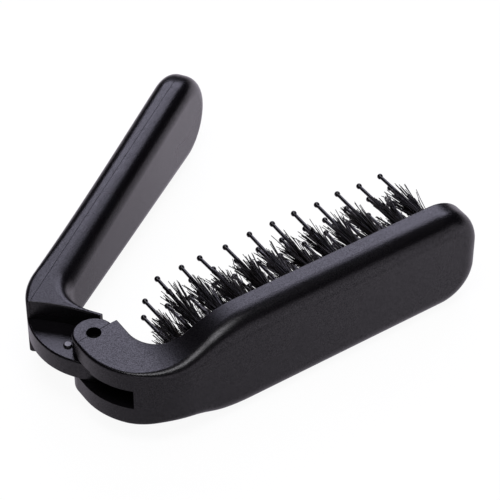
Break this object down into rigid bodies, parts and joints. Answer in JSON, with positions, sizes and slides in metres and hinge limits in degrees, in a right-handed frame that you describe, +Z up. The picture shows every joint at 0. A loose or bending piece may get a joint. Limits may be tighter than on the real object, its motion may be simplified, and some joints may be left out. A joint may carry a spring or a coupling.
{
  "type": "folding pocket hair brush",
  "caption": "Black folding pocket hair brush, part open: bristled head with a fork of two ears, and a plain handle that turns on it and folds over the bristles.",
  "frame": {"origin": "on the hinge axis at mid-height of the knuckle", "axes": "+X along the head to its tip, +Y the side of the bristles and the handle, +Z up along the hinge axis"},
  "size_m": [0.1232, 0.1084, 0.0328],
  "materials": {
    "shell": "fine spark-eroded grain, satin black",
    "plate": "moulded black, matt",
    "sleeve": "turned black acetal",
    "pip": "dark grey, worn smooth",
    "bristle": "fine black nylon filament",
    "pin": "black nylon, ball end",
    "anchor": "flat wire"
  },
  "bodies": {
    "head": {"head_shell": "shell", "bristle_plate": "plate", "pivot_sleeve": "sleeve", "tufts_row_1": "bristle", "tufts_row_2": "bristle", "tufts_row_3": "bristle", "tufts_row_4": "bristle", "pins_row_1": "pin", "pins_row_2": "pin", "pins_row_3": "pin", "pins_row_4": "pin", "anchors_row_1": "anchor", "anchors_row_2": "anchor", "anchors_row_3": "anchor", "anchors_row_4": "anchor"},
    "handle": {"handle_frame": "shell", "handle_cover": "shell", "detent_pip": "pip"}
  },
  "joints": [
    {"name": "handle_fold", "type": "hinge", "parent": "head", "child": "handle", "pos_m": [0, 0, 0], "axis": [0, 0, 1], "range_deg": [-34, 146]}
  ]
}
